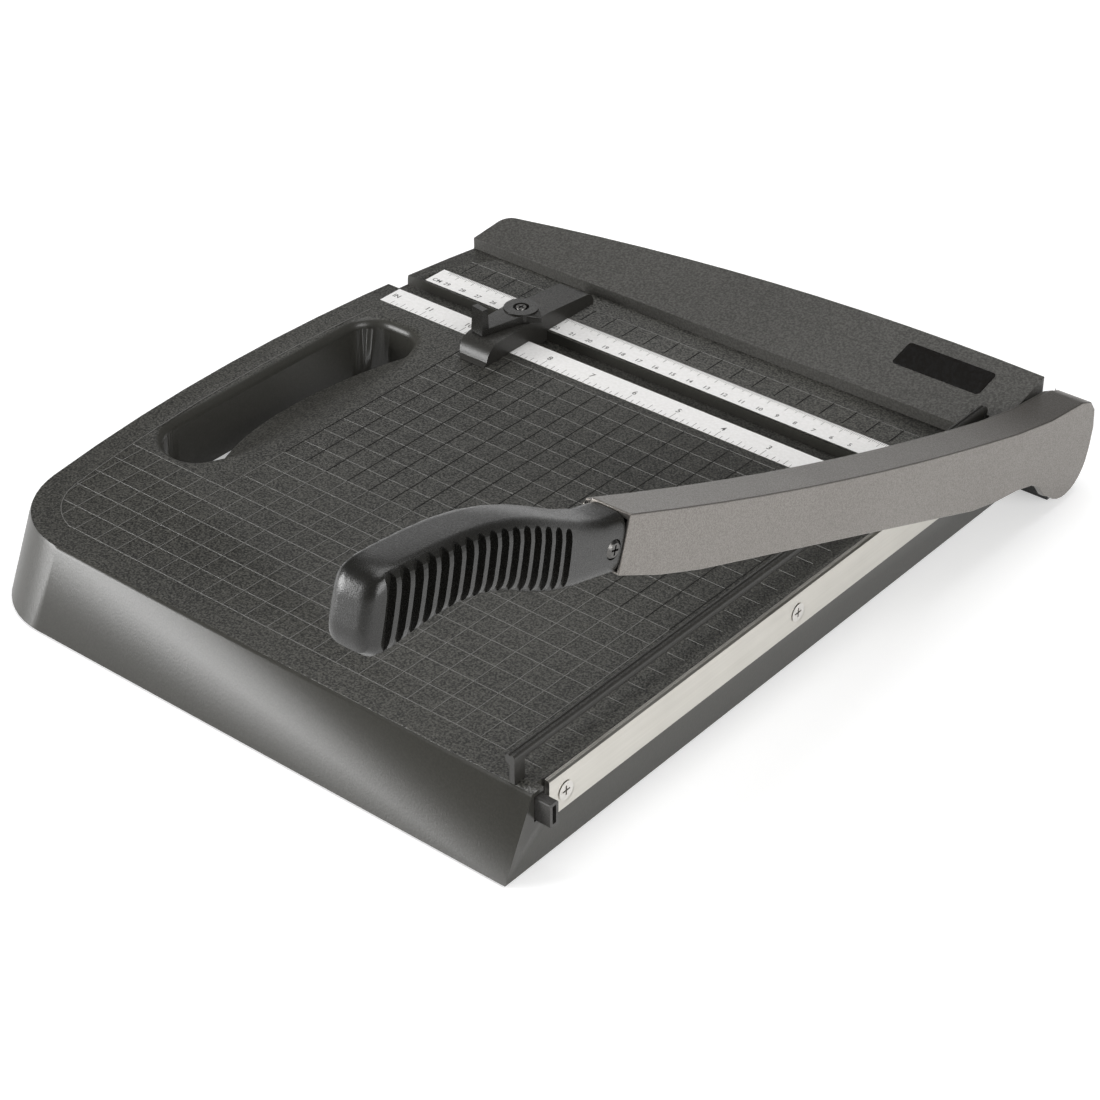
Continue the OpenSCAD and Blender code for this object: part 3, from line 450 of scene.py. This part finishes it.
def makeHoleCutter(look):
    # a ring that cuts a rounded lip round the hand hole, wide and shallow beside the scoop
    ring, e = holeOutline(look)
    rows = []
    for x, y, turn in ring:
        side = 1 - min(1.0, abs(y - look["middle"]) / (e + look["endMargin"]))
        share = (0.0 if x < look["left"] + look["scoopFrom"]
                 else min(1.0, side * look["scoopBlend"]) ** look["scoopEase"])
        rows.append([onBoard(x + d * math.cos(turn), y + d * math.sin(turn), z)
                     for d, z in lipRow(share, look)])
    n, width = len(rows), len(rows[0])
    faces = [(i * width + j, i * width + (j + 1) % width,
              (i + 1) % n * width + (j + 1) % width, (i + 1) % n * width + j)
             for i in range(n) for j in range(width)]
    mesh = bpy.data.meshes.new("holeCutter")
    mesh.from_pydata([p for row in rows for p in row], [], faces)
    bm = bmesh.new()
    bm.from_mesh(mesh)
    bmesh.ops.recalc_face_normals(bm, faces=bm.faces)
    bm.to_mesh(mesh)
    bm.free()
    return putInScene(bpy.data.objects.new("holeCutter", mesh))


# back: points of the arm's rear outline, each with the direction of its small steps
armLook = {
    "raised": 16.2, "pivot": (158, 174, 23), "steps": (0, 0.87, 3),
    "lug": (2.5, -2.0), "lugRadius": 18.5, "lugFrom": 176, "lugStep": 12.4, "lugPoints": 11,
    "back": (((3, 26), (0, -1)), ((-6, 25.2), (0.5, -1)), ((-11.5, 21), (1, -0.5)),
             ((-15, 12), (1, 0)), ((-16, 3), (1, 0))),
    "topFrom": 10, "topAbove": 14, "sideMatch": 0.02, "topMatch": 0.05, "backMatch": 0.06,
    "merge": 2e-5,
}


def rearCorners(look):
    corners = list(look["back"])
    (cx, cy), r = look["lug"], look["lugRadius"]
    for k in range(look["lugPoints"]):
        a = math.radians(look["lugFrom"] + look["lugStep"] * k)
        corners.append(((cx + r * math.cos(a), cy + r * math.sin(a)),
                        (-math.cos(a), -math.sin(a))))
    return corners


def cornerFor(u, w, top, corners, look):
    # the outline's corner that a step's point belongs to
    if u > look["topFrom"] and round(u) in top:
        if min(abs(top[round(u)] - w - t) for t in look["steps"]) < look["topMatch"]:
            return u, top[round(u)]
    goal = None
    for (cu, cw), (du, dw) in corners:
        for t in look["steps"]:
            if math.hypot(cu + du * t - u, cw + dw * t - w) < look["backMatch"]:
                goal = cu, cw
    return goal


def joinArmSteps(bm, look):
    # the small steps on the arm's outer edge are drawn out to one corner
    turn = Matrix.Rotation(math.radians(-look["raised"]), 3, "X")
    pivot = Vector(look["pivot"])
    spots = {v: turn.inverted() @ (v.co / mm - pivot) for v in bm.verts}
    outer = max(p.x for p in spots.values())
    near = {v: p for v, p in spots.items()
            if min(abs(outer - p.x - t) for t in look["steps"]) < look["sideMatch"]}
    top = {}
    for p in near.values():
        if -p.y > look["topFrom"] and p.z > look["topAbove"]:
            top[round(-p.y)] = max(p.z, top.get(round(-p.y), 0))
    corners = rearCorners(look)
    moved = []
    for v, p in near.items():
        goal = cornerFor(-p.y, p.z, top, corners, look)
        if goal:
            v.co = (turn @ Vector((outer, -goal[0], goal[1])) + pivot) * mm
            moved.append(v)
    bmesh.ops.remove_doubles(bm, verts=moved, dist=look["merge"])
    left = {v for v in moved if v.is_valid}
    # the steps' own faces now lie inside the corner
    bmesh.ops.delete(bm, geom=[f for f in bm.faces if all(v in left for v in f.verts)],
                     context="FACES_ONLY")
    print("arm corner:", len(left), "points left of", len(moved))


refined = {
    "base_shell": {"piece": "boardShell", "width": 0.7, "segments": 3,
                   "cutter": makeHoleCutter},
    "back_fence": {"piece": "backFence", "width": 1.0, "segments": 3},
    "guard_rail": {"piece": "guardRail", "width": 1.1, "segments": 4},
    "arm_latch": {"piece": "armLatch", "width": 0.3, "segments": 2},
    "ledger_blade": {"piece": "ledgerBlade", "width": 0.12, "segments": 2},
    "arm_casting": {"piece": "armCasting", "width": 0.6, "segments": 6, "shape": joinArmSteps},
    "cutting_blade": {"piece": "cuttingBlade", "width": 0.12, "segments": 2},
    "grip": {"piece": "gripHandle", "width": 0.35, "segments": 2},
    "guide_fence": {"piece": "guideFence", "width": 0.5, "segments": 3},
    "clamp_lever": {"piece": "clampLever", "width": 0.5, "segments": 3},
    "label_plate": {"piece": "labelPlate", "width": 0.15, "segments": 2},
    "pivot_bracket": {"piece": "pivotBracket", "width": 0.5, "segments": 2},
    "pivot_bolt": {"piece": "pivotBolt", "width": 0.3, "segments": 2},
    "pivot_nut": {"piece": "pivotNut", "width": 0.3, "segments": 2},
    "rubber_feet": {"piece": "rubberFeet", "width": 0.6, "segments": 3},
}
for name, look in refined.items():
    refine(name, look)


def buildLineTree():
    # every edge of the mesh becomes a thin bar
    tree, m, gin, gout = newGroup("thinLines", "GeometryNodeTree", [
        ("Geometry", "NodeSocketGeometry", None),
        ("Line Width", "NodeSocketFloat", 0.0004),
        ("Line Height", "NodeSocketFloat", 0.0002),
        ("Finish", "NodeSocketMaterial", None)],
        [("Geometry", "NodeSocketGeometry")])
    curve = m.add("GeometryNodeMeshToCurve", Mesh=gin.outputs["Geometry"])
    up = m.add("GeometryNodeSetCurveNormal", {"mode": "Z_UP"}, Curve=curve.outputs[0])
    section = m.add("GeometryNodeCurvePrimitiveQuadrilateral",
                    Width=gin.outputs["Line Width"], Height=gin.outputs["Line Height"])
    bars = m.add("GeometryNodeCurveToMesh", Curve=up.outputs[0],
                 Profile_Curve=section.outputs[0], Fill_Caps=True)
    real = m.add("GeometryNodeRealizeInstances", Geometry=bars.outputs[0])
    paint = m.add("GeometryNodeSetMaterial", Geometry=real.outputs[0],
                  Material=gin.outputs["Finish"])
    m.link(paint.outputs[0], gout.inputs["Geometry"])
    return tree


lineTree = buildLineTree()


def makeLines(name, paths, width, height, material):
    mesh = bpy.data.meshes.new(name + "Paths")
    points, edges = [], []
    for path in paths:
        start = len(points)
        points += path
        edges += [(start + i, start + i + 1) for i in range(len(path) - 1)]
    mesh.from_pydata(points, edges, [])
    draft = putInScene(bpy.data.objects.new(name + "Draft", mesh))
    modifier = draft.modifiers.new("lines", "NODES")
    modifier.node_group = lineTree
    ids = {item.name: item.identifier for item in lineTree.interface.items_tree
           if item.item_type == "SOCKET" and item.in_out == "INPUT"}
    modifier[ids["Line Width"]] = width * mm
    modifier[ids["Line Height"]] = height * mm
    modifier[ids["Finish"]] = material
    piece = flatten(draft, name, material)
    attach(piece, "base")
    print("piece", name, len(piece.data.polygons), "faces")


rimLook = {"bow": 840, "bowX": 522.5, "bowY": 160, "corner": 45.0, "cornerX": -262.0,
           "cornerY": 30.8}
gridLook = {
    "pitch": 12.7, "width": 0.36, "height": 0.24, "shadeWidth": 1.3,
    "right": -25.4, "left": -241.3, "rows": 18, "inRim": 13.0,
    "holeRow": 63.5, "shadeFrom": 101.6, "columnLift": 0.02, "borderLift": 0.01,
    "farRow": 292.1, "farFrom": 280, "farRight": -30, "farLeft": -296,
    "guardRight": -8.0, "guardLeft": -16.5,
    "columns": (2, 20), "frontColumns": (20, 24), "farColumns": (3, 24), "search": 0.5,
    "borderCorner": (0, 31, 2), "borderBow": (32, 232, 8),
}


def rimX(y, inside):
    # the left rim's bow, that far inside it
    reach = rimLook["bow"] - inside
    return rimLook["bowX"] - math.sqrt(reach ** 2 - (y - rimLook["bowY"]) ** 2)


def cornerX(y, inside):
    # the rounded front left corner, then the bow
    if y >= rimLook["cornerY"]:
        return rimX(y, inside)
    r = rimLook["corner"] - inside
    return rimLook["cornerX"] - math.sqrt(max(0.0, r * r - (y - rimLook["cornerY"]) ** 2))


def gridRows(look):
    p, inside, paths = look["pitch"], look["inRim"], []
    for i in range(look["rows"] + 1):
        y = i * p
        left = look["left"] if y > look["holeRow"] + 1 else cornerX(y, inside)
        paths.append([onBoard(look["right"], y), onBoard(left, y)])
    # border along the rim, the row behind the rulers and the short rows beside the guard
    paths.append([onBoard(cornerX(y, inside), y, look["borderLift"])
                  for y in (*range(*look["borderCorner"]), *range(*look["borderBow"]))])
    paths.append([onBoard(look["farRight"], look["farRow"]),
                  onBoard(look["farLeft"], look["farRow"])])
    for i in range(look["rows"] + 1):
        paths.append([onBoard(look["guardLeft"], i * p), onBoard(look["guardRight"], i * p)])
    return paths


def gridColumns(look):
    # the near part of each column gets the lighter colour, a painted highlight; the far part gets
    # the darker colour, a painted shade for its shaded side
    p, z, near, far = look["pitch"], look["columnLift"], [], []
    top, turnY = look["rows"] * p, look["shadeFrom"]
    for i in reversed(range(*look["columns"])):
        near.append([onBoard(-p * i, 0, z), onBoard(-p * i, turnY, z)])
        far.append([onBoard(-p * i, turnY, z), onBoard(-p * i, top, z)])
    # in front of the hand hole the columns start at the rounded corner
    for i in range(*look["frontColumns"]):
        y = 0.0
        while cornerX(y, look["inRim"]) > -p * i:
            y += look["search"]
        near.append([onBoard(-p * i, y, z), onBoard(-p * i, look["holeRow"], z)])
    for i in range(*look["farColumns"]):
        far.append([onBoard(-p * i, look["farFrom"], z), onBoard(-p * i, look["farRow"], z)])
    return near, far


nearColumns, farColumns = gridColumns(gridLook)
# rows and near columns take the lighter grid colour, a painted highlight
makeLines("gridLines", gridRows(gridLook) + nearColumns, gridLook["width"],
          gridLook["height"], inks["gridPaintedHighlight"])
# far columns take the darker grid colour, a painted shade, and are drawn a little wider
makeLines("gridLinesPaintedShade", farColumns, gridLook["width"] * gridLook["shadeWidth"],
          gridLook["height"], inks["gridPaintedShade"])

# ticks are counted in parts of an inch and in millimetres
inchLook = {"ticks": (4, 95), "parts": 8, "edge": 234.0, "long": 5.2, "half": 4.2, "quarter": 3.2,
            "short": 2.2, "numbers": (1, 12), "numberY": 241.6, "size": 4.6, "shift": -0.2,
            "unitX": -301.0, "unitSize": 4.14}
cmLook = {"ticks": (10, 298), "edge": 277.7, "long": 5.0, "half": 3.8, "short": 2.4,
          "numbers": (1, 30), "numberY": 266.4, "size": 3.6, "unitX": -296.5}
inkLook = {"tickWidth": 0.22, "tickHeight": 0.05, "tickLift": 0.06, "numberLift": 0.085,
           "bold": 0.05, "smoothness": 3}


def tickPaths(inches, cm):
    z, paths = inkLook["tickLift"], []
    for i in range(*inches["ticks"]):
        x = -inch * i / inches["parts"]
        size = (inches["long"] if i % 8 == 0 else inches["half"] if i % 4 == 0
                else inches["quarter"] if i % 2 == 0 else inches["short"])
        paths.append([onBoard(x, inches["edge"], z), onBoard(x, inches["edge"] + size, z)])
    for i in range(*cm["ticks"]):
        size = cm["long"] if i % 10 == 0 else cm["half"] if i % 5 == 0 else cm["short"]
        paths.append([onBoard(-i, cm["edge"] - size, z), onBoard(-i, cm["edge"], z)])
    return paths


makeLines("rulerTicks", tickPaths(inchLook, cmLook), inkLook["tickWidth"],
          inkLook["tickHeight"], inks["rulerInk"])


def makeText(word, x, y, size):
    font = bpy.data.curves.new("word", "FONT")
    font.body, font.size = word, size * mm
    font.align_x, font.align_y = "CENTER", "CENTER"
    font.resolution_u, font.offset = inkLook["smoothness"], inkLook["bold"] * mm
    mesh = plainMesh(putInScene(bpy.data.objects.new("word", font)))
    mesh.transform(Matrix.Translation(onBoard(x, y, inkLook["numberLift"])))
    return mesh


def makeNumbers(name, inches, cm):
    words = [("IN", inches["unitX"], inches["numberY"], inches["unitSize"])]
    words += [(str(i), -inch * i + inches["shift"], inches["numberY"], inches["size"])
              for i in range(*inches["numbers"])]
    words += [("CM", cm["unitX"], cm["numberY"], cm["size"])]
    words += [(str(i), -10.0 * i, cm["numberY"], cm["size"]) for i in range(*cm["numbers"])]
    bm = bmesh.new()
    for word in words:
        mesh = makeText(*word)
        bm.from_mesh(mesh)
        bpy.data.meshes.remove(mesh)
    mesh = bpy.data.meshes.new(name)
    bm.to_mesh(mesh)
    bm.free()
    mesh.materials.append(inks["rulerInk"])
    piece = putInScene(bpy.data.objects.new(name, mesh))
    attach(piece, "base")
    print("piece", name, len(mesh.polygons), "faces")


makeNumbers("rulerNumbers", inchLook, cmLook)


def seenDirectly(m):
    # 1 where the camera, a mirror-like or a clear surface looks; and 1 for the camera alone
    path = m.add("ShaderNodeLightPath").outputs
    first = m.compute("MAXIMUM", path["Is Camera Ray"], path["Is Glossy Ray"])
    seen = m.compute("MAXIMUM", first, path["Is Transmission Ray"])
    return seen, path["Is Camera Ray"]


floorLook = {"half": 6.0, "color": (0.80, 0.80, 0.80), "lift": 0.42}


def makeFloor(look):
    # a matt floor that also glows a little where it is looked at
    mesh = bpy.data.meshes.new("floor")
    h = look["half"]
    mesh.from_pydata([(-h, -h, 0), (h, -h, 0), (h, h, 0), (-h, h, 0)], [], [(0, 1, 2, 3)])
    floor = putInScene(bpy.data.objects.new("floor", mesh))
    mat = newMaterial("paleFloor")[0]
    mat.node_tree.nodes.clear()
    m = NodeMaker(mat.node_tree)
    lift = m.compute("MULTIPLY", seenDirectly(m)[0], look["lift"])
    glow = m.add("ShaderNodeEmission", Color=rgb(1, 1, 1), Strength=lift)
    matt = m.add("ShaderNodeBsdfDiffuse", Color=rgb(*look["color"]))
    both = m.add("ShaderNodeAddShader")
    m.link(glow.outputs[0], both.inputs[0])
    m.link(matt.outputs[0], both.inputs[1])
    m.link(both.outputs[0], m.add("ShaderNodeOutputMaterial").inputs["Surface"])
    mesh.materials.append(mat)


worldLook = {"fill": 0.24, "horizon": 0.85, "ceiling": 0.09, "bandLow": 0.0,
             "bandHigh": 0.13, "backdrop": 1.0}


def makeWorld(look):
    world = bpy.data.worlds.new("studio")
    scene.world = world
    world.use_nodes = True
    m = NodeMaker(world.node_tree)
    world.node_tree.nodes.clear()
    seen, byCamera = seenDirectly(m)
    around = m.add("ShaderNodeSeparateXYZ",
                   Vector=m.add("ShaderNodeTexCoord").outputs["Generated"])
    band = m.add("ShaderNodeMapRange", {"interpolation_type": "SMOOTHSTEP"},
                 Value=around.outputs["Z"], From_Min=look["bandLow"],
                 From_Max=look["bandHigh"], To_Min=look["horizon"], To_Max=look["ceiling"])
    # the camera sees white, gloss sees a pale horizon and dim ceiling, the rest is fill light
    gloss = m.blend(seen, look["fill"], band.outputs[0])
    view = m.blend(byCamera, gloss, look["backdrop"])
    back = m.add("ShaderNodeBackground", Color=rgb(1, 1, 1), Strength=view)
    m.link(back.outputs[0], m.add("ShaderNodeOutputWorld").inputs["Surface"])


lampLook = {
    "overhead": {"place": (-0.1, 0.3, 1.8), "size": 1.2, "power": 13.0},
    "backLeft": {"place": (-1.0, 1.25, 0.92), "size": 0.8, "power": 2.0},
    "frontLeft": {"place": (-1.15, -1.25, 0.44), "size": 0.8, "power": 27.0},
    "rightFill": {"place": (1.5, -0.45, 0.7), "size": 0.9, "power": 17.0},
}


def makeLamps(lamps):
    for name, look in lamps.items():
        light = bpy.data.lights.new(name, "AREA")
        light.size, light.energy = look["size"], look["power"]
        lamp = putInScene(bpy.data.objects.new(name, light))
        lamp.location = look["place"]
        lamp.rotation_mode = "QUATERNION"
        lamp.rotation_quaternion = (-Vector(look["place"])).to_track_quat("-Z", "Y")


cameraLook = {
    "place": (0.66290, -0.77889, 0.66587), "lens": 88.41, "sensor": 36, "clip": (0.05, 30),
    "right": (0.77096, 0.63688, -0.00196),
    "down": (0.35165, -0.42825, -0.83243),
    "ahead": (-0.53100, 0.64109, -0.55412),
}


def makeCamera(look):
    cam = putInScene(bpy.data.objects.new("viewCamera", bpy.data.cameras.new("viewCamera")))
    axes = Matrix((Vector(look["right"]), -Vector(look["down"]), -Vector(look["ahead"])))
    cam.matrix_world = Matrix.Translation(look["place"]) @ axes.transposed().to_4x4()
    cam.data.lens, cam.data.sensor_width = look["lens"], look["sensor"]
    cam.data.clip_start, cam.data.clip_end = look["clip"]
    scene.camera = cam


makeFloor(floorLook)
makeWorld(worldLook)
makeLamps(lampLook)
makeCamera(cameraLook)
print("stage, lamps and camera made")
